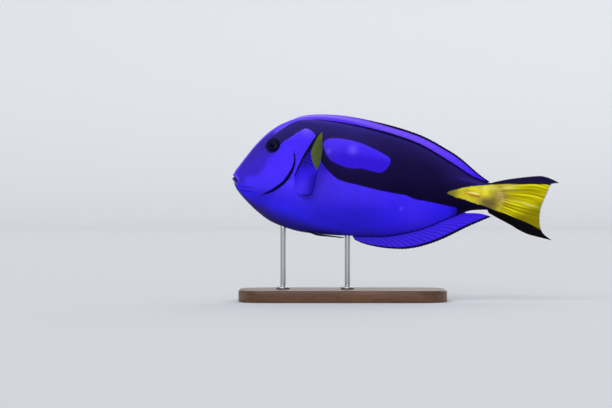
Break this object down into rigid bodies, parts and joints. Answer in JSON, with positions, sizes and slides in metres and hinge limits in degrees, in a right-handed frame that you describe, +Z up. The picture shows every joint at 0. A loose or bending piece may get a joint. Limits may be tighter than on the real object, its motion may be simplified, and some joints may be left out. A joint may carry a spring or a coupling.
{
  "type": "regal blue tang model",
  "caption": "Still, life-size model of a regal blue tang as it swims, with a pectoral fin raised and the tail spread, held by rods on a flat display base.",
  "frame": {"origin": "middle of the model's extents at the underside of the stand's base", "axes": "+X towards the tail, +Y towards the fish's right side, +Z up"},
  "size_m": [0.2208, 0.076, 0.1265],
  "materials": {
    "skin": "satin, finely scaled skin",
    "eye": "wet gloss",
    "spine": "smooth satin",
    "fin": "satin, raised rays",
    "tail_fin": "satin, raised rays",
    "stand_wood": "oiled walnut",
    "stand_steel": "brushed"
  },
  "bodies": {
    "root": {"head": "skin", "trunk": "skin", "tail_stalk": "skin", "eye_left": "eye", "eye_right": "eye", "caudal_spine_left": "spine", "caudal_spine_right": "spine", "dorsal_fin": "fin", "anal_fin": "fin", "caudal_fin": "tail_fin", "pectoral_fin_left": "fin", "pectoral_fin_right": "fin", "pelvic_fin_left": "fin", "pelvic_fin_right": "fin", "stand_base": "stand_wood", "stand_rod_front": "stand_steel", "stand_rod_rear": "stand_steel"}
  },
  "joints": []
}
